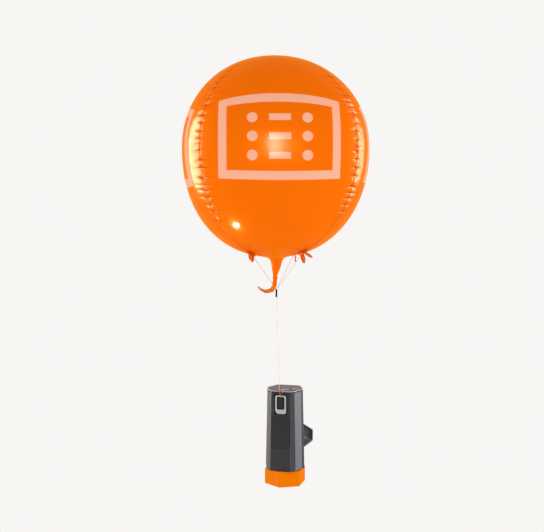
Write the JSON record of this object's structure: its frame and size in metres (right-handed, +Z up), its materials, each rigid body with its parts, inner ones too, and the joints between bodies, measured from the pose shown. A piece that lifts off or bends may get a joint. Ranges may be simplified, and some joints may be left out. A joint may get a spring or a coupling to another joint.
{
  "type": "signal balloon",
  "caption": "Orange foil distress-signal balloon on a tether, flown from a hand-held six-sided inflator canister with a twist cap.",
  "frame": {"origin": "centre of the balloon's envelope, where the air holds it up", "axes": "+Z up along the envelope's axis; the printed front gore looks along -Y, turned a few degrees towards +X; the canister hangs below with its front towards -Y"},
  "size_m": [0.3842, 0.3842, 0.9042],
  "materials": {
    "foil": "glossy coated foil film, orange",
    "line": "thin twisted cord, cream with an orange tint",
    "sleeve": "black shrink sleeve",
    "body_plastic": "fine moulded texture, charcoal grey",
    "panel_plastic": "recessed darker panel",
    "cover_plastic": "satin grey",
    "ring_plastic": "pale grey, satin",
    "window_plastic": "dark smoked insert",
    "band_plastic": "pale grey printed band, bare",
    "cap_plastic": "moulded orange, satin",
    "steel": "plain"
  },
  "bodies": {
    "frame": {"gore_front": "foil", "gore_right": "foil", "gore_rear": "foil", "gore_left": "foil", "neck": "foil", "neck_tie": "foil", "neck_tail": "foil", "tab_front_left": "foil", "tab_front_right": "foil", "tab_rear_right": "foil", "tab_rear_left": "foil", "bridle_front_left": "line", "bridle_front_right": "line", "bridle_rear_right": "line", "bridle_rear_left": "line", "tether_sleeve": "sleeve", "tether": "line", "top_strand": "line", "canister_shell": "body_plastic", "top_cover": "cover_plastic", "release_ring": "ring_plastic", "window_insert": "window_plastic", "front_panel": "panel_plastic", "label_band": "band_plastic", "strap_loop": "body_plastic", "cap_collar": "body_plastic", "gas_cartridge": "steel"},
    "cap": {"cap": "cap_plastic"}
  },
  "joints": [
    {"name": "cap_twist", "type": "hinge", "parent": "frame", "child": "cap", "pos_m": [0.023, 0.0331, -0.694], "axis": [0, 0, 1], "range_deg": [-30, 0]}
  ]
}
